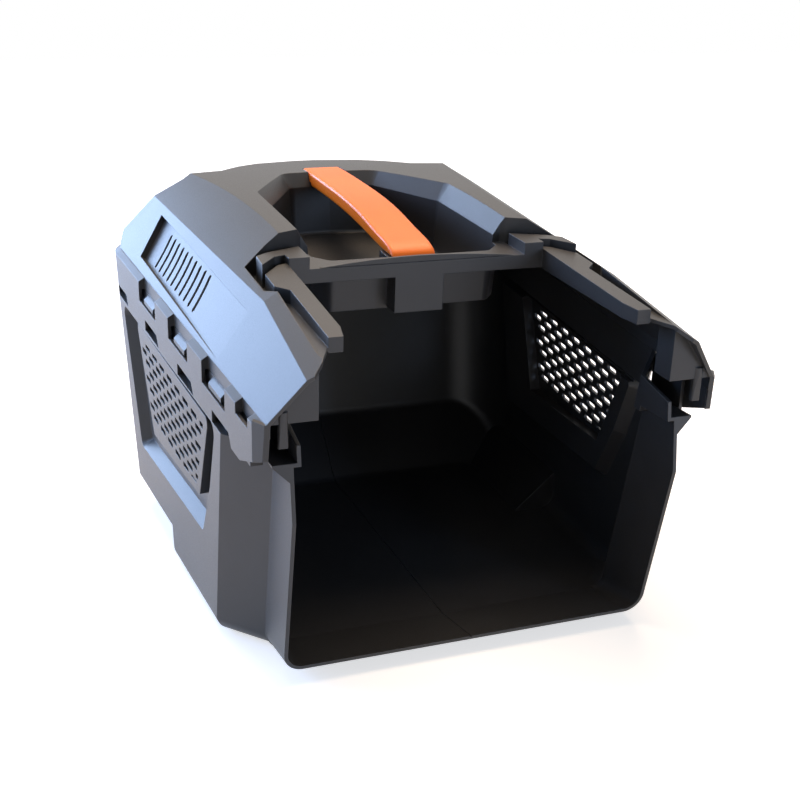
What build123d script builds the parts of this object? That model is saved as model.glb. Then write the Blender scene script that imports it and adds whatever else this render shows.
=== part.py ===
from build123d import *

# Grass box of a walk-behind mower: two lower halves, a top cover, a carry handle and its screws.
# X points right for a person who looks into the mouth, Y from the mouth to the back, Z up.
# Distances from the mouth count from its foot. The finished pieces are moved so that the middle of
# the flat bottom is at the origin. Sizes are millimetres.

from math import atan, cos, degrees, hypot, radians, sin
import os

# walls
wall = 2.6
skirt_wall = 2.5
skirt_gap = 2.6
joint_gap = 0.3
seam_width = 1.0
seam_depth = 0.8

# lower body, sizes at the floor
neck_half_width = 138.0
neck_length = 52.0
neck_top = 172.0
neck_fold = 133.0
neck_return = 0.1
neck_shelf = 11.0
shoulder_length = 34.0
side_half_width = 160.0
side_spread = 0.067
body_length = 378.0
body_top = 240.0
mouth_lean = 0.266
back_lean = 0.155
back_corner_radius = 48.0
bottom_radius = 14.0
slant_start = 332.0
slant_rise = 47.0
slant_run = 49.0
lip_rise = 9.0
lip_run = 52.0
corner_cut_start = 212.0
corner_cut_width = 38.0
corner_cut_height = 32.0

# parting between the lower body and the cover
parting_height = 167.5
parting_slope = 0.072
tongue_height = 29.0
tongue_front = 40.0
tongue_drop = 13.0
tongue_ramp = 82.0

# recess and grille in each side wall, as (distance from the mouth, height)
recess_outline = [(346, 189), (312, 68), (107, 72), (78, 118), (54, 171)]
recess_depth = 9.0
recess_draft = 35.0
recess_radius = 8.0
plate_outline = [(292, 185.5), (72, 169.5), (110, 99), (256, 97)]
plate_radius = 5.0
grille_outline = [(279, 174.5), (86, 162.5), (115, 106), (255, 104)]
slot_length = 16.0
slot_width = 4.2
slot_pitch = 24.0
slot_top = 167.6
slot_start = 184.0
row_pitch = 7.1
row_count = 9
row_shift = 1.5

# cover, heights are above the parting
skirt_height = 36.0
panel_foot = 39.0
panel_lean = 35.5
crease_height = 82.5
shoulder_rise = 0.5966
crease_half_width = 127.0
crease_spread = 0.0692
front_dip = 0.0686
front_dip_start = 60.0
crown_front = 84.5
crown_top = 106.5
crown_back = 96.5
crown_peak = 270.0
cover_length = 405.0
roof_corner_radius = 44.0
back_slope = 38.0
back_height = 98.0
back_outline = [(0, 430), (49, 417), (70, 402), (90, 380), (152, 363), (260, 335), (260, -140), (0, -140)]

# snap joints, as distances from the mouth
window_centres = [250.0, 152.0, 57.0]
window_length = 56.0
front_window_centre = -8.0
front_window_length = 26.0
window_sill = 20.0
front_window_sill = 29.0
notch_centres = [347.0, 237.0, 132.0, 38.0]
notch_length = 46.0
notch_height = 9.0
notch_run = 7.0
hook_length = 30.0
hook_height = 7.0
hook_reach = 4.0
hook_clearance = 1.0

# slits in the sloped side panels, as distances along the panel and up its slope
field_front = 70.0
field_sink = radians(1.1)
field_outline = [(0, 3), (246, 9), (258, 47), (-10, 41)]
slit_count = 10
slit_first = 161.0
slit_pitch = 13.9
slit_middle = 25.6
slit_width = 4.4
slit_length = 29.6
slit_lean = 7.5
slit_bow = 1.3

# front of the cover
mouth_half_width = 99.0
fascia_front = 114.0
fascia_bottom = 75.5
ledge_half_width = 84.0
ledge_back = 153.0
ledge_height = 86.0
deck_height = 78.0
rail_front = -24.0
rail_back = 106.0
rail_front_height = 84.5
rail_back_height = 89.5
rail_foot = 3.5
hump_height = 95.0
web_wall = 2.4
web_front = -40.0
web_length = 20.0
web_bottom = 38.0
web_inner = 122.0
pin_diameter = 6.5
pin_height = 22.0
pin_centre = 144.0

front_edge = [(-3, 0), (-40, 14.4), (-42, 39.6), (-53, 72.5), (-53, 125)]
nose_cut = [(154.8, -90), (154.8, -44), (161.6, -32), (175, -32), (175, -90)]
nose_wall = [(154.8, -44), (161.6, -32), (159.5, -29), (152.3, -42)]
wing_outline = [(99, -8), (102, -24), (112, -24), (121, -44), (128, -52)]
deck_outline = [(121, -100), (121, 61), (127, 74), (128, 127), (110, 140), (84, 151)]
rail_outline = [(99, -8), (102, -24), (111.5, -24), (111.5, 64), (120, 74), (120, 99), (106.5, 117), (99, 120)]
hump_outline = [(84, 114), (99, 114), (99.5, 124), (108, 121), (121, 103), (120, 125), (110, 133), (84, 144)]

# bowl under the carry handle
bowl_outline = [(0, 125), (66, 125), (81, 143), (81, 271), (41, 349), (0, 353)]
bowl_band_foot = 92.0
bowl_band_slope = 32.0
bowl_band_width = 6.3
bowl_floor = 49.0
bowl_draft = 5.0
bowl_corner_radius = 14.5
bowl_floor_radius = 3.5

# carry handle, as (distance from the mouth, height above the parting)
handle_width = 35.0
handle_top = [(126, 86), (129, 90), (137, 93.4), (163.4, 97), (200, 101.5), (241.7, 104.4), (304.3, 104.8), (345, 104.2),
              (371, 103.2)]
handle_below = [(145, 86), (163, 87), (200, 90), (241, 92.3), (304, 92.8), (343, 92)]
handle_radius = 3.0
pedestal_margin = 1.5
pedestal_back = 151.0
seat_front = 337.0
seat_back = 372.3
seat_height = 96.0
seat_play = 0.15

# screws of the handle, two at each end
screw_spread = 16.0
screw_head = 8.0
screw_head_height = 3.2
screw_shank = 4.0
screw_length = 24.0
screw_hole = 4.6
drive_size = 4.4
drive_width = 1.1
drive_depth = 1.6
boss_diameter = 11.0
front_screw = 136.0
front_boss_bottom = 67.0
back_screw = 360.0
back_boss_bottom = 77.0
boss_web_drop = 14.5

# values that follow from the sizes above
tilt = degrees(atan(parting_slope))
mouth_direction = (0, -mouth_lean, 1)
skirt_step = skirt_wall + skirt_gap
lean = radians(panel_lean)
parting = Plane(origin=(0, 0, parting_height), x_dir=(1, 0, 0), z_dir=(0, -parting_slope, 1))
standing = Location((0, -(lip_run + slant_start) / 2, 0))
raised = standing * parting.location


def mirrored(points):
    """Close a run of points on the right with the same points on the left."""
    return points + [(-x, y) for x, y in reversed(points) if abs(x) > 0.01]


def side_x(y, grow=0.0):
    """Half width of the lower body at the floor at a distance from the mouth."""
    return side_half_width + side_spread * y + grow


def cover_side(y, grow=0.0):
    """Half width of the roof at the parting at a distance from the mouth."""
    rise = mouth_lean * side_spread
    return side_x(y, grow) + rise * (parting_height + parting_slope * y) - skirt_step


def over(height):
    """Plane parallel to the parting, its normal up, at a height above it."""
    return parting.offset(height)


def body_mass(inset):
    """Outside of the lower body moved inwards by an amount, taller than the body."""
    run = hypot(slant_run, slant_rise)
    front = -60.0 if inset > 0 else 0.0
    shoulder = neck_length + shoulder_length
    with BuildPart() as mass:
        with BuildSketch(Plane.XY.offset(inset)):
            with BuildLine():
                plan = [
                    (neck_half_width - inset, front - mouth_lean * inset),
                    (neck_half_width - inset, neck_length + 0.5 * inset),
                    (side_x(shoulder, -inset), shoulder + 0.5 * inset),
                    (side_x(body_length + 90, -inset), body_length + 90),
                ]
                Polyline(*mirrored(plan), close=True)
            make_face()
        extrude(amount=body_top - inset, dir=mouth_direction)
        back = Plane(origin=(0, body_length - inset, 0), z_dir=(0, 1, -back_lean))
        split(bisect_by=back, keep=Keep.BOTTOM)
        slant = Plane(
            origin=(0, slant_start - inset * slant_rise / run, inset * slant_run / run),
            z_dir=(0, slant_rise, -slant_run),
        )
        split(bisect_by=slant, keep=Keep.BOTTOM)
        uprights = mass.edges().filter_by(lambda e: e.center().Y > 0.97 * body_length)
        uprights = uprights.filter_by(lambda e: abs(e.tangent_at(0.5).Z) > 0.7 and abs(e.center().X) > 100)
        fillet(uprights, back_corner_radius - inset)
        if inset <= wall:
            downs = mass.faces().filter_by(lambda f: f.geom_type == GeomType.PLANE)
            downs = downs.filter_by(lambda f: f.normal_at().Z < -0.5)
            flat = downs.filter_by(lambda f: f.normal_at().Y < 0.1)[0]
            sloped = downs.filter_by(lambda f: f.normal_at().Y > 0.1)[0]
            low = flat.edges().filter_by(lambda e: e.center().Y > -20 and e.center().Y < 0.8 * slant_start)
            fillet(low + sloped.edges(), bottom_radius - inset)
        lip = Plane(origin=(0, 0, lip_rise + inset), z_dir=(0, -lip_rise, -lip_run))
        split(bisect_by=lip, keep=Keep.BOTTOM)
        if inset <= wall:
            radius = bottom_radius - inset
            level = (lip_rise + inset) + 1.5 * lip_rise
            for hand in (-1, 1):
                edge = hand * (neck_half_width - inset)
                with BuildSketch(Plane.XZ.offset(1.5 * lip_run)):
                    with BuildLine():
                        round_edge = ThreePointArc(
                            (edge, level + radius),
                            (edge - hand * 0.2929 * radius, level + 0.2929 * radius),
                            (edge - hand * radius, level),
                        )
                        outer = (edge + hand * 5, level + radius)
                        Polyline(round_edge @ 1, (edge - hand * radius, level - 5), (outer[0], level - 5), outer, round_edge @ 0)
                    make_face()
                extrude(amount=2.4 * lip_run, dir=(0, lip_run, -lip_rise), mode=Mode.SUBTRACT)
        for hand in (-1, 1):
            corner = hand * (side_x(corner_cut_start) - inset)
            with BuildSketch(Plane.XZ.offset(-corner_cut_start + inset)):
                with BuildLine():
                    Polyline(
                        (corner - hand * 2 * corner_cut_width, inset - corner_cut_height),
                        (corner - hand * corner_cut_width, inset),
                        (corner, inset + corner_cut_height),
                        (corner + hand * corner_cut_width, inset + 2 * corner_cut_height),
                        (corner + hand * 2 * corner_cut_width, inset - corner_cut_height),
                        close=True,
                    )
                make_face()
            extrude(amount=-body_length, dir=(-hand * side_spread, -1, 0), mode=Mode.SUBTRACT)
    return mass.part


side_plane = Plane(
    origin=(side_x(200) + 130 * mouth_lean * side_spread, 200, 130),
    x_dir=(side_spread, 1, 0),
    z_dir=(1, -side_spread, -mouth_lean * side_spread),
)


def on_side(points):
    """Turn points given by distance and height into points of the side plane."""
    return [(y - 200, z - 130) for y, z in points]


def outline_sketch(plane, points, radius=0.0, grow=0.0):
    """Closed outline on a plane, its corners rounded and then grown by an amount."""
    with BuildSketch(plane) as outline:
        with BuildLine():
            Polyline(*points, close=True)
        make_face()
        if radius > 0:
            fillet(outline.vertices(), radius)
        if grow != 0:
            offset(amount=grow, mode=Mode.REPLACE)
    return outline.sketch


def slot_places():
    """Centres of the grille slots on the side plane, row by row, inside the grille."""
    (y1, z1), (y2, z2), (y3, z3), (y4, z4) = grille_outline
    places = []
    for row in range(row_count):
        share = (row + 0.5) / row_count
        back = y1 + (y4 - y1) * share
        front = y2 + (y3 - y2) * share
        start = slot_start + row_shift * row + (slot_pitch / 2 if row % 2 else 0.0)
        for step in range(-8, 9):
            y = start + step * slot_pitch
            if front - 1 < y < back + 1:
                places.append((y, slot_top - row * row_pitch + parting_slope * (y - 200)))
    return places


# the neck stands a little higher than the parting, with a shelf outside that the cover sits over
with BuildPart() as neck_rise:
    add(body_mass(0))
    split(bisect_by=Plane.XY.offset(neck_top), keep=Keep.BOTTOM)
    split(bisect_by=over(-1))
    split(bisect_by=Plane(origin=(0, neck_length, 0), z_dir=(0, -1, -mouth_lean)))

with BuildPart() as neck_hollow:
    add(body_mass(wall))
    split(bisect_by=Plane.XY.offset(neck_top - wall), keep=Keep.BOTTOM)
    split(bisect_by=over(-2 * wall))
    split(bisect_by=Plane(origin=(0, neck_length - wall, 0), z_dir=(0, -1, -mouth_lean)))

with BuildPart() as neck_shelves:
    with BuildSketch(Plane.XZ.offset(mouth_lean * neck_top)):
        for hand in (1, -1):
            edge = hand * neck_half_width
            with BuildLine():
                Polyline(
                    (edge - hand * wall / 2, neck_top),
                    (edge + hand * neck_shelf, neck_top),
                    (edge + hand * neck_shelf, neck_top - 1.5),
                    (edge, neck_top - neck_shelf - 1.5),
                    (edge - hand * wall / 2, neck_top - neck_shelf - 1.5),
                    close=True,
                )
            make_face()
    extrude(amount=-(neck_length + shoulder_length / 2 + mouth_lean * neck_top))

with BuildPart() as neck_front:
    fold = (-mouth_lean * neck_fold, neck_fold)
    upper = (fold[0] + neck_return * (neck_top + 40 - neck_fold), neck_top + 40)
    with BuildSketch(Plane.YZ):
        with BuildLine():
            Polyline((-200, neck_fold), fold, upper, (-200, neck_top + 40), close=True)
        make_face()
    extrude(amount=300, both=True)

# lower body, both halves in one, parted at the middle further down
with BuildPart() as tub:
    add(body_mass(0))
    split(bisect_by=over(0), keep=Keep.BOTTOM)
    add(neck_rise.part)
    add(neck_shelves.part)

with BuildPart() as tongue:
    add(body_mass(skirt_step))
    split(bisect_by=over(tongue_height), keep=Keep.BOTTOM)
    split(bisect_by=over(-2 * wall))
    split(bisect_by=Plane(origin=(0, 0, 0), z_dir=(0, -1, -mouth_lean)), keep=Keep.BOTTOM)
    ramp = Plane(
        origin=(0, tongue_front, parting_height + parting_slope * tongue_front + tongue_height),
        z_dir=(0, -tongue_drop - parting_slope * tongue_ramp, tongue_ramp),
    )
    split(bisect_by=ramp, keep=Keep.BOTTOM)

# the wall steps round the recess, so a blank as thick as the wall stays behind it
with BuildPart() as blank:
    extrude(
        to_extrude=outline_sketch(side_plane, on_side(recess_outline), recess_radius, wall),
        amount=-recess_depth - wall,
        taper=recess_draft,
    )
    cavity = outline_sketch(side_plane.offset(-wall), on_side(plate_outline), plate_radius, -wall)
    extrude(to_extrude=cavity, amount=-recess_depth - wall, mode=Mode.SUBTRACT)
    mirror(about=Plane.YZ)

with BuildPart() as hollow:
    add(body_mass(wall))
    split(bisect_by=over(-wall), keep=Keep.BOTTOM)
    add(blank.part, mode=Mode.SUBTRACT)

with BuildPart() as throat:
    add(body_mass(skirt_step + wall))
    split(bisect_by=over(-2 * wall))

with BuildPart() as recess:
    extrude(
        to_extrude=outline_sketch(side_plane, on_side(recess_outline), recess_radius),
        amount=-recess_depth,
        taper=recess_draft,
    )
    plate = outline_sketch(side_plane.offset(1), on_side(plate_outline), plate_radius)
    extrude(to_extrude=plate, amount=-recess_depth - 2, mode=Mode.SUBTRACT)
    mirror(about=Plane.YZ)

with BuildPart() as slots:
    with BuildSketch(side_plane.offset(1)):
        with Locations(*on_side(slot_places())):
            SlotOverall(slot_length, slot_width, rotation=tilt)
        with BuildLine():
            Polyline(*on_side(grille_outline), close=True)
        make_face(mode=Mode.INTERSECT)
    extrude(amount=-wall - 2)
    mirror(about=Plane.YZ)

# side of the skirt, with distances along it and heights above the parting
skirt_plane = Plane(
    origin=(cover_side(0, skirt_step), 0, 0),
    x_dir=(cover_side(1) - cover_side(0), 1, 0),
    z_dir=(1, cover_side(0) - cover_side(1), 0),
)

# snap hooks on the tongue, flat below and slanted above, in the frame of the parting
with BuildPart() as hooks:
    with BuildSketch(skirt_plane.offset(-skirt_step - wall / 2)):
        with Locations(*[(y, window_sill + hook_clearance + hook_height / 2) for y in window_centres]):
            Rectangle(hook_length, hook_height)
    extrude(amount=wall / 2 + hook_reach)
    outer = hooks.faces().filter_by(lambda f: f.normal_at().X > 0.9)
    upper = outer.edges().filter_by(lambda e: e.center().Z > window_sill + hook_height)
    chamfer(upper, hook_reach - 0.5)
    mirror(about=Plane.YZ)

# line on the inside where the two halves meet
with BuildPart() as seam:
    add(body_mass(wall - seam_depth))
    split(bisect_by=over(-2 * wall), keep=Keep.BOTTOM)
    Box(seam_width, 3 * body_length, 3 * body_top, mode=Mode.INTERSECT)

with BuildPart() as shell:
    add(tub.part)
    add(tongue.part)
    add(hollow.part, mode=Mode.SUBTRACT)
    add(neck_hollow.part, mode=Mode.SUBTRACT)
    add(throat.part, mode=Mode.SUBTRACT)
    add(neck_front.part, mode=Mode.SUBTRACT)
    add(recess.part, mode=Mode.SUBTRACT)
    add(slots.part, mode=Mode.SUBTRACT)
    add(seam.part, mode=Mode.SUBTRACT)
    add(hooks.part.moved(parting.location))

with BuildPart() as lower_right:
    add(shell.part.moved(standing))
    split(bisect_by=Plane.YZ)

with BuildPart() as lower_left:
    add(shell.part.moved(standing))
    split(bisect_by=Plane.YZ, keep=Keep.BOTTOM)


def cover_block(grow, bottom, top):
    """Upright block with the plan outline of the roof, grown by an amount."""
    with BuildPart() as block:
        with BuildSketch(Plane.XY.offset(bottom)):
            with BuildLine():
                ends = (-90, cover_length + 60)
                Polyline(*mirrored([(cover_side(y, grow), y) for y in ends]), close=True)
            make_face()
        extrude(amount=top - bottom)
        back = Plane(origin=(0, cover_length + grow, 0), z_dir=(0, 1, -(back_lean + parting_slope)))
        split(bisect_by=back, keep=Keep.BOTTOM)
        corners = block.edges().filter_by(lambda e: e.center().Y > 0.94 * cover_length)
        fillet(corners.filter_by(lambda e: abs(e.tangent_at(0.5).Z) > 0.7), roof_corner_radius + grow)
    return block.part


def back_mass(inset):
    """Everything in front of the roof's back facets, moved inwards by an amount."""
    moved_in = -inset / cos(radians(back_slope))
    with BuildPart() as mass:
        outline = outline_sketch(Plane.XY.offset(back_height), mirrored(back_outline), 0, moved_in)
        extrude(to_extrude=outline, amount=60)
        extrude(to_extrude=outline, amount=-back_height - 10, taper=-back_slope)
    return mass.part


def roof_mass(inset, bottom):
    """Roof with its sloped sides, shoulders and crown, moved inwards by an amount."""
    with BuildPart() as mass:
        add(cover_block(-inset, bottom, crown_top + 14))
        for hand in (1, -1):
            panel = Plane(
                origin=(hand * (cover_side(0)), 0, panel_foot),
                z_dir=(hand * cos(lean), -side_spread * cos(lean), sin(lean)),
            )
            split(bisect_by=panel.offset(-inset), keep=Keep.BOTTOM)
            shoulder = Plane(
                origin=(hand * crease_half_width, 0, crease_height),
                z_dir=(hand * shoulder_rise, -shoulder_rise * crease_spread, 1),
            )
            split(bisect_by=shoulder.offset(-inset), keep=Keep.BOTTOM)
            dipped = Plane(
                origin=(hand * (crease_half_width + crease_spread * front_dip_start), front_dip_start, crease_height),
                z_dir=(hand * shoulder_rise, -shoulder_rise * crease_spread - front_dip, 1),
            )
            split(bisect_by=dipped.offset(-inset), keep=Keep.BOTTOM)
        with BuildSketch(Plane.YZ):
            with BuildLine():
                arc = ThreePointArc(
                    (-100, crown_front - inset),
                    (crown_peak, crown_top - inset),
                    (450, crown_back - inset),
                )
                Polyline(arc @ 1, (450, bottom - 5), (-100, bottom - 5), arc @ 0)
            make_face()
        extrude(amount=400, both=True, mode=Mode.INTERSECT)
        add(back_mass(inset), mode=Mode.INTERSECT)
    return mass.part


def plan_prism(points, bottom, top, grow=0.0):
    """Upright prism on an outline of the right half, with its mirror image."""
    with BuildPart() as prism:
        extrude(to_extrude=outline_sketch(Plane.XY.offset(bottom), points, 0, grow), amount=top - bottom)
        mirror(about=Plane.YZ)
    return prism.part


# everything of the cover from here on is drawn in the frame of the parting
with BuildPart() as front_cut:
    with BuildSketch(Plane.YZ):
        with BuildLine():
            Polyline(*front_edge, (-200, 125), (-200, -20), (-3, -20), close=True)
        make_face()
    extrude(amount=300, both=True)
    add(plan_prism(nose_cut, -20, 60))

with BuildPart() as mouth_cut:
    opening = [(0, fascia_front), (mouth_half_width, fascia_front)] + wing_outline
    add(plan_prism(opening + [(128, -100), (0, -100)], 45, 130))

# the deck in front of the crown, lower at the sides than between them
deck_plan = [(ledge_half_width, -100)] + deck_outline
ledge_plan = [(0, -100), (ledge_half_width, -100), (ledge_half_width, ledge_back - 2), (80, ledge_back), (0, ledge_back)]
with BuildPart() as deck_cut:
    add(plan_prism(deck_plan, deck_height, 130))
    add(plan_prism(ledge_plan, ledge_height, 130))

with BuildPart() as deck_blank:
    add(plan_prism(deck_plan, deck_height - wall, 130, wall))
    add(plan_prism(ledge_plan, ledge_height - wall, 130, wall))

# shallow sunk field of the slits, level with the panel at the front and deep at the back
panel_plane = Plane(
    origin=(cover_side(0), 0, panel_foot),
    x_dir=(side_spread, 1, 0),
    z_dir=(cos(lean), -side_spread * cos(lean), sin(lean)),
)
field_plane = Plane(
    origin=panel_plane.from_local_coords((field_front, 0, 0)),
    x_dir=panel_plane.x_dir * cos(field_sink) - panel_plane.z_dir * sin(field_sink),
    z_dir=panel_plane.z_dir * cos(field_sink) + panel_plane.x_dir * sin(field_sink),
)


def field_mass(grow):
    """Wedge cut out of the panel for the field, or the blank behind it when grown."""
    with BuildPart() as field:
        extrude(to_extrude=outline_sketch(field_plane.offset(-grow), field_outline, 0, grow), amount=30)
        mirror(about=Plane.YZ)
    return field.part


with BuildPart() as slits:
    with BuildLine() as slit_line:
        ThreePointArc(
            (-slit_lean / 2, -(slit_length - slit_width) / 2),
            (-slit_bow, 0),
            (slit_lean / 2, (slit_length - slit_width) / 2),
        )
    with BuildSketch(panel_plane.offset(5)):
        with Locations(*[(slit_first + step * slit_pitch, slit_middle) for step in range(slit_count)]):
            SlotArc(slit_line.edges()[0], slit_width)
    extrude(amount=-20)
    mirror(about=Plane.YZ)

with BuildPart() as windows:
    with BuildSketch(skirt_plane.offset(2)):
        height = panel_foot - window_sill
        with Locations(*[(y, window_sill + height / 2) for y in window_centres]):
            Rectangle(window_length, height)
        with Locations((front_window_centre, (panel_foot + front_window_sill) / 2)):
            Rectangle(front_window_length, panel_foot - front_window_sill)
        for y in notch_centres:
            with BuildLine():
                Polyline(
                    (y - notch_length / 2, -1),
                    (y - notch_length / 2 + notch_run, notch_height),
                    (y + notch_length / 2, notch_height),
                    (y + notch_length / 2, -1),
                    close=True,
                )
            make_face()
    extrude(amount=-skirt_step - 2)
    mirror(about=Plane.YZ)

with BuildPart() as roof:
    add(roof_mass(0, 0))
    add(deck_cut.part, mode=Mode.SUBTRACT)

seat_plan = [(0, seat_front), (handle_width / 2 + seat_play, seat_front), (handle_width / 2 + seat_play, seat_back),
             (0, seat_back)]
with BuildPart() as roof_hollow:
    add(roof_mass(wall, tongue_height))
    add(deck_blank.part, mode=Mode.SUBTRACT)
    add(field_mass(wall), mode=Mode.SUBTRACT)
    add(plan_prism(seat_plan, seat_height - wall, 130, wall), mode=Mode.SUBTRACT)

with BuildPart() as skirt:
    add(cover_block(skirt_step, 0, panel_foot))
    top_face = skirt.faces().sort_by(Axis.Z)[-1]
    rim = top_face.edges().filter_by(lambda e: e.center().Y > -80)
    chamfer(rim, length=skirt_step - 0.1, length2=panel_foot - skirt_height, reference=top_face)

with BuildPart() as skirt_clearance:
    add(cover_block(skirt_gap, -5, tongue_height + joint_gap))

def bowl_mass(grow):
    """Body of the bowl, steep below and with a sloped band along its rim."""
    with BuildPart() as mass:
        rim = outline_sketch(
            Plane.XY.offset(bowl_band_foot),
            mirrored(bowl_outline),
            bowl_corner_radius,
            grow - bowl_band_width,
        )
        extrude(to_extrude=rim, amount=20, taper=-bowl_band_slope)
        extrude(to_extrude=rim, amount=-(bowl_band_foot - bowl_floor + grow), taper=bowl_draft)
    return mass.part


with BuildPart() as bowl_wall:
    add(bowl_mass(wall))
    add(roof.part, mode=Mode.INTERSECT)

with BuildPart() as bowl:
    add(bowl_mass(0))
    fillet(bowl.faces().sort_by(Axis.Z)[0].edges(), bowl_floor_radius)

# pedestal in the front wall of the bowl, hollow below, for the foot of the handle
pedestal_size = (handle_width + 2 * pedestal_margin, pedestal_back - fascia_front, ledge_height - bowl_floor + 1)
with BuildPart() as pedestal:
    with Locations((0, fascia_front, ledge_height)):
        Box(*pedestal_size, align=(Align.CENTER, Align.MIN, Align.MAX))

with BuildPart() as pedestal_hollow:
    length, depth, drop = pedestal_size
    with Locations((0, fascia_front + wall, ledge_height - wall)):
        Box(length - 2 * wall, depth - 2 * wall, drop + wall, align=(Align.CENTER, Align.MIN, Align.MAX))

with BuildPart() as fascia:
    inner = mouth_half_width + wall
    face = [(0, fascia_front), (inner, fascia_front), (inner, fascia_front + wall), (0, fascia_front + wall)]
    add(plan_prism(face, fascia_bottom, ledge_height - 1))

# rails on the deck, rising a little towards the crown, and the hollow under them
rail_slope = (rail_back_height - rail_front_height) / (rail_back - rail_front)
rail_top = Plane(origin=(0, rail_front, rail_front_height), z_dir=(0, -rail_slope, 1))
with BuildPart() as rails:
    add(plan_prism(rail_outline, deck_height - rail_foot, 100))
    split(bisect_by=rail_top, keep=Keep.BOTTOM)

with BuildPart() as rail_hollow:
    add(plan_prism(rail_outline, deck_height - 2 * rail_foot, 100, -wall))
    split(bisect_by=rail_top.offset(-wall), keep=Keep.BOTTOM)

# webs behind the front ends of the cover, with the pins that locate it on the mower
with BuildPart() as wing:
    reach = 175 - web_inner
    web_height = 2 * (70 - web_bottom)
    for hand in (1, -1):
        with Locations((hand * (web_inner + reach / 2), web_front + web_wall / 2, 70)):
            Box(reach, web_wall, web_height)
        with Locations((hand * (web_inner + web_wall / 2), web_front + web_length / 2, 70)):
            Box(web_wall, web_length, web_height)
    add(roof.part, mode=Mode.INTERSECT)
    for hand in (1, -1):
        with Locations((hand * pin_centre, web_front + web_wall / 2, pin_height)):
            Cylinder(pin_diameter / 2, web_bottom - pin_height + 8, align=(Align.CENTER, Align.CENTER, Align.MIN))
    add(plan_prism(nose_wall, 0, panel_foot))

screw_places = [
    (hand * screw_spread / 2, y, bottom)
    for hand in (-1, 1)
    for y, bottom in ((front_screw, front_boss_bottom), (back_screw, back_boss_bottom))
]

with BuildPart() as bosses:
    for y, bottom, top in ((front_screw, front_boss_bottom, ledge_height), (back_screw, back_boss_bottom, seat_height)):
        with Locations((-screw_spread / 2, y, bottom), (screw_spread / 2, y, bottom)):
            Cylinder(boss_diameter / 2, top - bottom - 1, align=(Align.CENTER, Align.CENTER, Align.MIN))
        with Locations((0, y, top - 1)):
            Box(handle_width, wall, boss_web_drop, align=(Align.CENTER, Align.CENTER, Align.MAX))

with BuildPart() as screw_holes:
    with Locations(*screw_places):
        Cylinder(screw_hole / 2, 60)

with BuildPart() as cover:
    add(roof.part)
    add(skirt.part)
    add(skirt_clearance.part, mode=Mode.SUBTRACT)
    add(roof_hollow.part, mode=Mode.SUBTRACT)
    add(bowl_wall.part)
    add(bowl.part, mode=Mode.SUBTRACT)
    add(pedestal.part)
    add(pedestal_hollow.part, mode=Mode.SUBTRACT)
    add(mouth_cut.part, mode=Mode.SUBTRACT)
    add(fascia.part)
    add(plan_prism(hump_outline, deck_height - 1, hump_height))
    add(plan_prism(hump_outline, deck_height - 5, hump_height - wall, -wall), mode=Mode.SUBTRACT)
    add(rails.part)
    add(rail_hollow.part, mode=Mode.SUBTRACT)
    add(wing.part)
    add(field_mass(0), mode=Mode.SUBTRACT)
    add(front_cut.part, mode=Mode.SUBTRACT)
    add(plan_prism(seat_plan, seat_height, 130), mode=Mode.SUBTRACT)
    add(bosses.part)
    add(screw_holes.part, mode=Mode.SUBTRACT)
    add(slits.part, mode=Mode.SUBTRACT)
    add(windows.part, mode=Mode.SUBTRACT)

with BuildPart() as top_cover:
    add(cover.part.moved(raised))

# carry handle, a strap over the bowl with a foot on the ledge and its back end in the seat
with BuildPart() as grip:
    with BuildSketch(Plane.YZ.offset(-handle_width / 2)):
        with BuildLine():
            above = Spline(*handle_top)
            under = Spline(*handle_below)
            Polyline(
                above @ 1,
                ((above @ 1).X, seat_height),
                ((under @ 1).X + 1, seat_height),
                under @ 1,
            )
            Line(under @ 0, above @ 0)
        make_face()
    extrude(amount=handle_width)
    rims = grip.edges().filter_by(lambda e: abs(e.center().X) > 0.49 * handle_width and e.length > 100)
    fillet(rims, handle_radius)

with BuildPart() as screws:
    for x, y, bottom in screw_places:
        with Locations((x, y, bottom)):
            Cylinder(screw_head / 2, screw_head_height, align=(Align.CENTER, Align.CENTER, Align.MAX))
            Cylinder(screw_shank / 2, screw_length, align=(Align.CENTER, Align.CENTER, Align.MIN))
        with Locations((x, y, bottom - screw_head_height)):
            Box(drive_size, drive_width, 2 * drive_depth, mode=Mode.SUBTRACT)
            Box(drive_width, drive_size, 2 * drive_depth, mode=Mode.SUBTRACT)

with BuildPart() as carry_handle:
    add(grip.part.moved(raised))
    add(screws.part.moved(raised), mode=Mode.SUBTRACT)

with BuildPart() as handle_screws:
    add(screws.part.moved(raised))

lower_left.part.label = "lower_left"
lower_right.part.label = "lower_right"
top_cover.part.label = "top_cover"
carry_handle.part.label = "carry_handle"
handle_screws.part.label = "handle_screws"

os.makedirs("parts", exist_ok=True)
export_step(lower_left.part, "parts/lower_left.step")
export_step(lower_right.part, "parts/lower_right.step")
export_step(top_cover.part, "parts/top_cover.step")
export_step(carry_handle.part, "parts/carry_handle.step")
export_step(handle_screws.part, "parts/handle_screws.step")
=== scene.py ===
"""Looks of a mower's grass box: its plastics, rims and screws, and the pale studio it stands in."""
import logging
import math
from dataclasses import dataclass, field
from enum import Enum
from typing import Any

import bmesh
import bpy
from mathutils import Matrix, Vector


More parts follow.
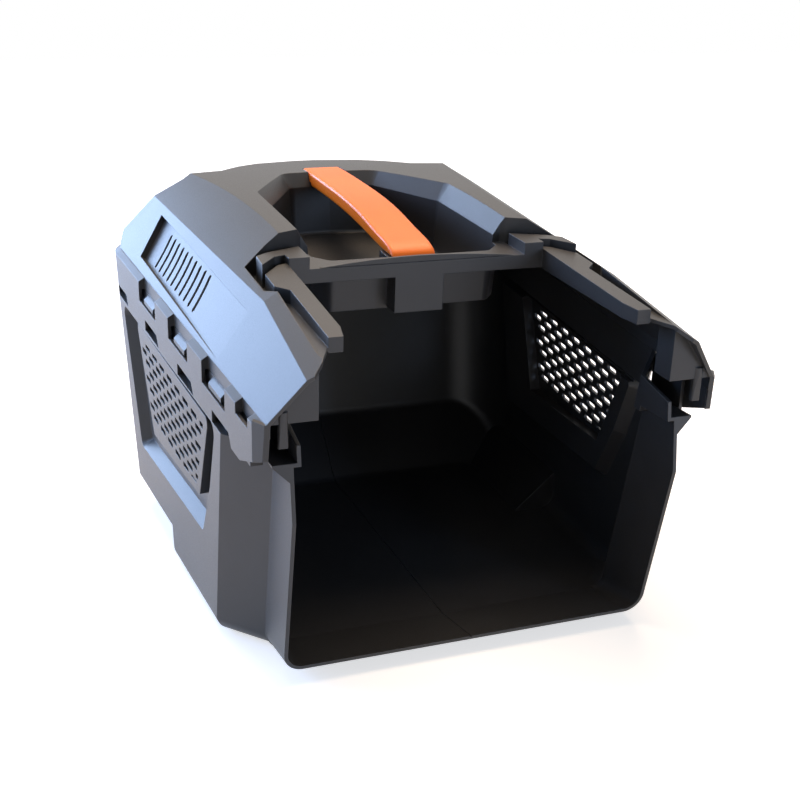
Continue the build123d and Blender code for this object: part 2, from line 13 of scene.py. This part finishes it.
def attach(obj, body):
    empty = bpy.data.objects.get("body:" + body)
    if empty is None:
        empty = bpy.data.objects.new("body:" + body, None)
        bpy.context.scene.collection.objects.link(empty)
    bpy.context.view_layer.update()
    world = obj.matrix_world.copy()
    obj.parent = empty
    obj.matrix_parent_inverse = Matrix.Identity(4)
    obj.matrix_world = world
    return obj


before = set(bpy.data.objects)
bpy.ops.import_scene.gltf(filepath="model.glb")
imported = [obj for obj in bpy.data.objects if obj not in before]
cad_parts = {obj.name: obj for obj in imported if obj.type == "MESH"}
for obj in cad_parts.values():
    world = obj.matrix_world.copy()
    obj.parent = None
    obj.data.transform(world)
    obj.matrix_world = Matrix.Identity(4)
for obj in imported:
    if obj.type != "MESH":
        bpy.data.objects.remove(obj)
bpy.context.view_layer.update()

logging.basicConfig(level=logging.INFO, format="%(message)s")
log = logging.getLogger("grass_box")

MM = 0.001
BEVEL_SAMPLES = 4
# places of the two colours and of the result among the sockets of a mix node set to colour
MIX_FIRST = 6
MIX_SECOND = 7
MIX_RESULT = 2


class Moulding(Enum):
    """How the steel of the mould was finished, which the plastic copies."""

    SPARK_GRAIN = "fine spark-eroded grain"
    SATIN = "satin, stoned steel"


def linear(hex_colour: str) -> tuple[float, float, float, float]:
    """Turn an sRGB colour into the linear one that shaders take.

    Args:
        hex_colour: Six hex digits, with or without a leading hash.

    Returns:
        Red, green, blue and an alpha of one.
    """
    digits = hex_colour.lstrip("#")
    values = [int(digits[i:i + 2], 16) / 255 for i in (0, 2, 4)]
    red, green, blue = [v / 12.92 if v <= 0.04045 else ((v + 0.055) / 1.055) ** 2.4 for v in values]
    return red, green, blue, 1.0


def add_node(
    tree: bpy.types.NodeTree,
    kind: str,
    inputs: dict[Any, Any] | None = None,
    **settings: Any,
) -> bpy.types.Node:
    """Add a node with its settings, values and links.

    Args:
        tree: The node tree that gets the node.
        kind: The node's type, such as ShaderNodeMath.
        inputs: Socket name or number to a value, or to the output socket that feeds it.
        **settings: Properties of the node itself.

    Returns:
        The new node.
    """
    node = tree.nodes.new(kind)
    for name, value in settings.items():
        setattr(node, name, value)
    for socket, value in (inputs or {}).items():
        if isinstance(value, bpy.types.NodeSocket):
            tree.links.new(value, node.inputs[socket])
        else:
            node.inputs[socket].default_value = value
    return node


def mix_colours(tree: bpy.types.NodeTree, share: Any, first: Any, second: Any) -> bpy.types.NodeSocket:
    """Add a node that mixes two colours.

    Args:
        tree: The node tree that gets the node.
        share: How much of the second colour shows, as a value or a socket.
        first: The first colour, or the socket that gives it.
        second: The second colour, or the socket that gives it.

    Returns:
        The socket with the mixed colour.
    """
    inputs = {"Factor": share, MIX_FIRST: first, MIX_SECOND: second}
    return add_node(tree, "ShaderNodeMix", inputs, data_type="RGBA").outputs[MIX_RESULT]


def seen_directly(tree: bpy.types.NodeTree) -> bpy.types.NodeSocket:
    """Add nodes that tell rays of the camera, of gloss and of transmission from all others.

    Args:
        tree: The node tree that gets the nodes.

    Returns:
        A socket that is one for those rays and zero for the light that a surface scatters.
    """
    path = add_node(tree, "ShaderNodeLightPath")
    inputs = {0: path.outputs["Is Camera Ray"], 1: path.outputs["Is Glossy Ray"]}
    seen = add_node(tree, "ShaderNodeMath", inputs, operation="MAXIMUM")
    inputs = {0: seen.outputs[0], 1: path.outputs["Is Transmission Ray"]}
    return add_node(tree, "ShaderNodeMath", inputs, operation="MAXIMUM").outputs[0]


def empty_material(name: str) -> tuple[bpy.types.Material, bpy.types.NodeTree, bpy.types.Node]:
    """Make a material with only its output node.

    Args:
        name: The material's name.

    Returns:
        The material, its tree and its output node.
    """
    material = bpy.data.materials.new(name)
    material.use_nodes = True
    tree = material.node_tree
    tree.nodes.clear()
    return material, tree, tree.nodes.new("ShaderNodeOutputMaterial")


def mesh_object(name: str, shape: bmesh.types.BMesh) -> bpy.types.Object:
    """Turn a shape into an object of the scene and free the shape.

    Args:
        name: Name of the object and of its mesh.
        shape: The shape, which can't be used afterwards.

    Returns:
        The new object.
    """
    mesh = bpy.data.meshes.new(name)
    shape.to_mesh(mesh)
    shape.free()
    made = bpy.data.objects.new(name, mesh)
    bpy.context.scene.collection.objects.link(made)
    return made


@dataclass(frozen=True)
class MouldedPolypropylene:
    """Injection-moulded polypropylene, coloured through, with the mould's grain on it.

    The grain breaks the gloss into a soft satin. The edges are painted paler, a painted highlight
    that stands in for the lamps' reflection on their rounding, and dust in the grain makes faint pale
    clouds.
    """

    name: str
    colour: str
    cloud: str
    # colour of the painted highlight along the edges
    edge: str
    moulding: Moulding = Moulding.SPARK_GRAIN
    roughness: float = 0.42
    roughness_swing: float = 0.05
    refraction: float = 1.49
    specular: float = 0.42
    grain_mm: float = 0.7
    grain_depth_mm: float = 0.035
    grain_range: tuple[float, float] = (0.3, 0.7)
    satin_bump: float = 0.35
    cloud_mm: float = 90.0
    cloud_range: tuple[float, float] = (0.42, 0.72)
    cloud_share: float = 0.6
    edge_mm: float = 0.9
    edge_range: tuple[float, float] = (0.99, 0.80)
    edge_share: float = 0.55

    def material(self) -> bpy.types.Material:
        """Build the node material.

        Returns:
            The material, ready for an object's slot.
        """
        material, tree, output = empty_material(self.name)
        place = add_node(tree, "ShaderNodeTexCoord").outputs["Object"]
        clouds = add_node(tree, "ShaderNodeTexNoise", {
            "Vector": place, "Scale": 1 / (self.cloud_mm * MM), "Detail": 5.0, "Roughness": 0.6})
        cloudy = add_node(tree, "ShaderNodeMapRange", {
            "Value": clouds.outputs["Fac"],
            "From Min": self.cloud_range[0], "From Max": self.cloud_range[1],
            "To Min": 0.0, "To Max": self.cloud_share})
        # the grain itself is about 0.1 mm, too fine to show, so it is drawn several times as coarse
        grain = add_node(tree, "ShaderNodeTexNoise", {
            "Vector": place, "Scale": 1 / (self.grain_mm * MM), "Detail": 2.0, "Roughness": 0.55})
        bump = add_node(tree, "ShaderNodeBump", {
            "Height": grain.outputs["Fac"], "Distance": self.grain_depth_mm * MM,
            "Strength": 1.0 if self.moulding is Moulding.SPARK_GRAIN else self.satin_bump})
        rounded = add_node(tree, "ShaderNodeBevel", {
            "Radius": self.edge_mm * MM, "Normal": bump.outputs["Normal"]}, samples=BEVEL_SAMPLES)
        # an edge is where the rounded normal leaves the true one
        sharp = add_node(tree, "ShaderNodeNewGeometry").outputs["Normal"]
        soft = add_node(tree, "ShaderNodeBevel", {"Radius": self.edge_mm * MM}, samples=BEVEL_SAMPLES)
        along = add_node(
            tree, "ShaderNodeVectorMath", {0: sharp, 1: soft.outputs["Normal"]}, operation="DOT_PRODUCT")
        # paler edges: a painted highlight, standing in for the lamps' reflection on the rounded edges
        edge_highlight = add_node(tree, "ShaderNodeMapRange", {
            "Value": along.outputs["Value"],
            "From Min": self.edge_range[0], "From Max": self.edge_range[1],
            "To Min": 0.0, "To Max": self.edge_share})
        base = mix_colours(tree, cloudy.outputs["Result"], linear(self.colour), linear(self.cloud))
        edged = mix_colours(tree, edge_highlight.outputs["Result"], base, linear(self.edge))
        gloss = add_node(tree, "ShaderNodeMapRange", {
            "Value": grain.outputs["Fac"],
            "From Min": self.grain_range[0], "From Max": self.grain_range[1],
            "To Min": self.roughness - self.roughness_swing,
            "To Max": self.roughness + self.roughness_swing})
        shader = add_node(tree, "ShaderNodeBsdfPrincipled", {
            "Base Color": edged, "Roughness": gloss.outputs["Result"], "IOR": self.refraction,
            "Specular IOR Level": self.specular, "Normal": rounded.outputs["Normal"]})
        tree.links.new(shader.outputs["BSDF"], output.inputs["Surface"])
        return material


@dataclass(frozen=True)
class ZincPlatedSteel:
    """Zinc-plated steel wire, rolled and headed: a cool grey with a faint bluish mottle."""

    name: str
    colour: str
    mottle: str
    roughness: float = 0.32
    smoother: float = 0.06
    rougher: float = 0.1
    mottle_mm: float = 1.5

    def material(self) -> bpy.types.Material:
        """Build the node material.

        Returns:
            The material, ready for an object's slot.
        """
        material, tree, output = empty_material(self.name)
        place = add_node(tree, "ShaderNodeTexCoord").outputs["Object"]
        spots = add_node(tree, "ShaderNodeTexNoise", {
            "Vector": place, "Scale": 1 / (self.mottle_mm * MM), "Detail": 3.0})
        tint = mix_colours(tree, spots.outputs["Fac"], linear(self.colour), linear(self.mottle))
        wear = add_node(tree, "ShaderNodeMapRange", {
            "Value": spots.outputs["Fac"],
            "To Min": self.roughness - self.smoother, "To Max": self.roughness + self.rougher})
        shader = add_node(tree, "ShaderNodeBsdfPrincipled", {
            "Base Color": tint, "Metallic": 1.0, "Roughness": wear.outputs["Result"]})
        tree.links.new(shader.outputs["BSDF"], output.inputs["Surface"])
        return material


def dress(node: str, material: bpy.types.Material) -> None:
    """Give a CAD node its material in place of the one it came with.

    Args:
        node: The CAD node's name.
        material: The finish it gets.
    """
    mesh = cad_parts[node].data
    mesh.materials.clear()
    mesh.materials.append(material)


@dataclass
class PlasticShell:
    """A group of CAD nodes moulded from the same plastic."""

    nodes: tuple[str, ...]
    finish: MouldedPolypropylene

    def build(self) -> None:
        """Dress every node of the group with the plastic."""
        material = self.finish.material()
        for node in self.nodes:
            dress(node, material)
            log.info("%s dressed in %s", node, self.finish.moulding.value)


@dataclass(frozen=True)
class Tilted:
    """Frame of the cover, whose heights count from the parting that rises towards the back.

    Points are millimetres: right of the middle, back from the mouth's foot, up from the parting.
    """

    slope: float = 0.072
    level: float = 167.5
    foot: float = 192.0

    def point(self, x: float, y: float, z: float) -> Vector:
        """Turn a point of the cover's frame into one of the scene.

        Args:
            x: Distance to the right of the middle.
            y: Distance back from the mouth's foot, along the parting.
            z: Height above the parting.

        Returns:
            The point in metres, in the frame of the CAD.
        """
        run = math.hypot(1.0, self.slope)
        cosine, sine = 1.0 / run, self.slope / run
        return Vector((x, y * cosine - z * sine - self.foot, self.level + y * sine + z * cosine)) * MM


@dataclass(frozen=True)
class RimPieces:
    """Rims that the solids lack: flanges outside the neck and the raised lip above the mouth.

    The flange runs from the neck's shelf out to the skirt, with an upright inside the skirt.
    The lip stands on the ledge in front of the handle's foot and is highest in the middle.
    All sizes are millimetres in the cover's frame.
    """

    finish: MouldedPolypropylene
    frame_of_cover: Tilted = Tilted()
    shelf_x: float = 149.1
    side_x: float = 157.7
    side_spread: float = 0.067
    thickness: float = 2.6
    flange_drop: float = 0.3
    front_y: float = -8.0
    back_y: float = 20.6
    back_slope: float = 1.22
    upright_ends: tuple[float, float] = (-7.0, 36.5)
    upright_inset: float = 0.2
    upright_height: float = 28.0
    lip_half_width: float = 76.0
    lip_y: float = 114.6
    lip_foot: float = 86.0
    lip_rise: float = 4.6
    lip_edge: float = 0.05
    lip_steps: int = 32

    def prism(
        self,
        shape: bmesh.types.BMesh,
        hand: int,
        plan: list[tuple[float, float]],
        heights: tuple[float, float],
    ) -> None:
        """Add a closed prism that stands on a plan.

        Args:
            shape: The mesh that gets the prism.
            hand: 1 for the right side, -1 for the left.
            plan: Corners of the plan, as distances from the middle and from the mouth's foot.
            heights: Where the prism starts and ends above the parting.
        """
        low, high = (
            [shape.verts.new(self.frame_of_cover.point(hand * x, y, z)) for x, y in plan]
            for z in heights
        )
        shape.faces.new(low[::-1])
        shape.faces.new(high)
        for at, start in enumerate(low):
            after = (at + 1) % len(low)
            shape.faces.new((start, low[after], high[after], high[at]))

    def flange(self, shape: bmesh.types.BMesh, hand: int) -> None:
        """Add one side's flange and its upright.

        Args:
            shape: The mesh that gets them.
            hand: 1 for the right side, -1 for the left.
        """
        outer = [self.side_x + self.side_spread * y for y in (self.front_y, self.back_y)]
        reach = self.back_y + self.back_slope * (outer[1] - self.shelf_x)
        plan = [
            (self.shelf_x, self.front_y),
            (outer[0], self.front_y),
            (outer[1], reach),
            (self.shelf_x, self.back_y),
        ]
        self.prism(shape, hand, plan, (-self.flange_drop - self.thickness, -self.flange_drop))
        plan = []
        for shift in (-self.thickness, 0.0):
            ends = self.upright_ends if shift else self.upright_ends[::-1]
            for y in ends:
                plan.append((self.side_x - self.upright_inset + self.side_spread * y + shift, y))
        self.prism(shape, hand, plan, (-self.flange_drop, self.upright_height))

    def lip(self, shape: bmesh.types.BMesh) -> None:
        """Add the raised lip, a thin wall whose top is an arch.

        Args:
            shape: The mesh that gets it.
        """
        steps = self.lip_steps
        across = [self.lip_half_width * (2 * step / steps - 1) for step in range(steps + 1)]
        arch = [self.lip_edge + self.lip_rise * (1 - (x / self.lip_half_width) ** 2) for x in across]
        foot = [0.0] * len(across)
        rows = []
        for back, rises in ((0.0, foot), (0.0, arch), (self.thickness, arch), (self.thickness, foot)):
            points = [
                self.frame_of_cover.point(x, self.lip_y + back, self.lip_foot + rise)
                for x, rise in zip(across, rises)
            ]
            rows.append([shape.verts.new(point) for point in points])
        for near, far in zip(rows, rows[1:] + rows[:1]):
            for step in range(steps):
                shape.faces.new((near[step], near[step + 1], far[step + 1], far[step]))
        for end in (0, steps):
            shape.faces.new([line[end] for line in rows])

    def add(self, name: str, shape: bmesh.types.BMesh) -> None:
        """Put a shape on the box as a piece of its own.

        Args:
            name: The piece's name.
            shape: Its shape, which can't be used afterwards.
        """
        bmesh.ops.recalc_face_normals(shape, faces=shape.faces)
        piece = mesh_object(name, shape)
        piece.data.materials.append(self.finish.material())
        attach(piece, "root")
        log.info("%s added", name)

    def build(self) -> None:
        """Make the pieces and let them ride on the box."""
        flanges = bmesh.new()
        for hand in (1, -1):
            self.flange(flanges, hand)
        self.add("neck_flanges", flanges)
        lip = bmesh.new()
        self.lip(lip)
        self.add("mouth_lip", lip)


@dataclass
class HandleScrews:
    """The four screws that hold the carry handle."""

    node: str = "handle_screws"
    finish: ZincPlatedSteel = ZincPlatedSteel("zinc_plated_steel", "#a9abad", "#8f969d")

    def build(self) -> None:
        """Dress the screws."""
        dress(self.node, self.finish.material())
        log.info("%s dressed in zinc", self.node)


@dataclass(frozen=True)
class Softbox:
    """A rectangular lamp with a diffuser, which the camera doesn't see."""

    name: str
    place: tuple[float, float, float]
    size: tuple[float, float]
    power: float
    colour: str

    def hang(self, target: Vector) -> None:
        """Make the lamp and turn it to the target.

        Args:
            target: The point it shines at.
        """
        data = bpy.data.lights.new(self.name, "AREA")
        data.shape = "RECTANGLE"
        data.size, data.size_y = self.size
        data.energy = self.power
        data.color = linear(self.colour)[:3]
        lamp = bpy.data.objects.new(self.name, data)
        lamp.location = self.place
        lamp.rotation_mode = "QUATERNION"
        lamp.rotation_quaternion = (target - Vector(self.place)).to_track_quat("-Z", "Y")
        lamp.visible_camera = False
        bpy.context.scene.collection.objects.link(lamp)


@dataclass
class Studio:
    """Pale floor, soft lamps and the camera at the photograph's angle, in metres and degrees."""

    camera_place: tuple[float, float, float] = (-0.3135, -0.9030, 0.4473)
    yaw: float = 20.03
    pitch: float = 18.45
    roll: float = 0.45
    lens: float = 54.8
    sensor_width: float = 36.0
    clip_start: float = 0.02
    target: Vector = field(default_factory=lambda: Vector((0.0, 0.0, 0.15)))
    lamps: tuple[Softbox, ...] = (
        Softbox("top_softbox", (0.1, 0.7, 2.2), (1.8, 1.8), 62.0, "#ffdfbc"),
        Softbox("left_window", (-1.6, 0.85, 0.62), (1.3, 1.5), 46.0, "#a0c6ff"),
        Softbox("rear_window", (-0.95, 1.95, 0.6), (1.1, 1.0), 36.0, "#b0d0ff"),
        Softbox("front_fill", (0.75, -1.8, 0.42), (0.35, 0.5), 9.0, "#c4daff"),
    )
    floor_reach: float = 8.0
    floor_drop: float = 0.0004
    paper: str = "#e9e9ea"
    white: str = "#ffffff"
    glow_distances: tuple[float, float] = (0.5, 1.8)
    glow_strengths: tuple[float, float] = (0.64, 1.0)
    world_strengths: tuple[float, float] = (0.15, 1.0)

    def build(self) -> None:
        """Lay the floor, light the set and place the camera."""
        self.lay_floor()
        self.light()
        self.place_camera()
        log.info("studio ready")

    def lay_floor(self) -> None:
        """Make the floor, a hair below the box so that the two don't share a plane."""
        shape = bmesh.new()
        bmesh.ops.create_grid(shape, x_segments=1, y_segments=1, size=self.floor_reach)
        bmesh.ops.translate(shape, verts=shape.verts, vec=(0.0, 0.0, -self.floor_drop))
        floor = mesh_object("floor", shape)
        floor.data.materials.append(self.floor_material())

    def floor_material(self) -> bpy.types.Material:
        """Build the paper, which keeps the shadow and glows to the camera, more so further out.

        Returns:
            The material, ready for an object's slot.
        """
        material, tree, output = empty_material("studio_paper")
        seen = seen_directly(tree)
        paper = add_node(tree, "ShaderNodeBsdfDiffuse", {"Color": linear(self.paper)})
        place = add_node(tree, "ShaderNodeTexCoord").outputs["Object"]
        away = add_node(tree, "ShaderNodeVectorMath", {0: place}, operation="LENGTH")
        strength = add_node(tree, "ShaderNodeMapRange", {
            "Value": away.outputs["Value"],
            "From Min": self.glow_distances[0], "From Max": self.glow_distances[1],
            "To Min": self.glow_strengths[0], "To Max": self.glow_strengths[1]})
        glow = add_node(tree, "ShaderNodeEmission", {
            "Color": linear(self.white), "Strength": strength.outputs["Result"]})
        both = add_node(tree, "ShaderNodeAddShader", {0: paper.outputs[0], 1: glow.outputs[0]})
        shown = add_node(tree, "ShaderNodeMixShader", {0: seen, 1: paper.outputs[0], 2: both.outputs[0]})
        tree.links.new(shown.outputs[0], output.inputs["Surface"])
        return material

    def light(self) -> None:
        """Hang the lamps and set the world, white to the camera and in reflections."""
        for lamp in self.lamps:
            lamp.hang(self.target)
        world = bpy.data.worlds.new("studio")
        world.use_nodes = True
        bpy.context.scene.world = world
        tree = world.node_tree
        tree.nodes.clear()
        strength = add_node(tree, "ShaderNodeMapRange", {
            "Value": seen_directly(tree),
            "To Min": self.world_strengths[0], "To Max": self.world_strengths[1]})
        sky = add_node(tree, "ShaderNodeBackground", {
            "Color": linear(self.white), "Strength": strength.outputs[0]})
        output = tree.nodes.new("ShaderNodeOutputWorld")
        tree.links.new(sky.outputs[0], output.inputs["Surface"])
        bpy.context.scene.view_settings.view_transform = "Standard"

    def place_camera(self) -> None:
        """Set the camera from its yaw, pitch and roll."""
        yaw, pitch, roll = (math.radians(a) for a in (self.yaw, self.pitch, self.roll))
        ahead = Vector((
            math.sin(yaw) * math.cos(pitch),
            math.cos(yaw) * math.cos(pitch),
            -math.sin(pitch),
        ))
        level = Vector((math.cos(yaw), -math.sin(yaw), 0.0))
        over = level.cross(ahead)
        right = math.cos(roll) * level + math.sin(roll) * over
        up = -math.sin(roll) * level + math.cos(roll) * over
        data = bpy.data.cameras.new("camera")
        data.lens = self.lens
        data.sensor_width = self.sensor_width
        data.clip_start = self.clip_start
        camera = bpy.data.objects.new("camera", data)
        turn = Matrix((right, up, -ahead)).transposed().to_4x4()
        camera.matrix_world = Matrix.Translation(Vector(self.camera_place)) @ turn
        bpy.context.scene.collection.objects.link(camera)
        bpy.context.scene.camera = camera


BLACK = MouldedPolypropylene("black_polypropylene", "#2a2b2d", "#333538", "#55585c")
ORANGE = MouldedPolypropylene(
    "orange_polypropylene", "#fa7608", "#fb8212", "#fc9634", Moulding.SATIN,
    roughness=0.38, cloud_mm=60.0, edge_share=0.35,
)


def main() -> None:
    """Build every sub-assembly in order."""
    PlasticShell(("lower_left", "lower_right", "top_cover"), BLACK).build()
    PlasticShell(("carry_handle",), ORANGE).build()
    RimPieces(BLACK).build()
    HandleScrews().build()
    Studio().build()


if __name__ == "__main__":
    main()
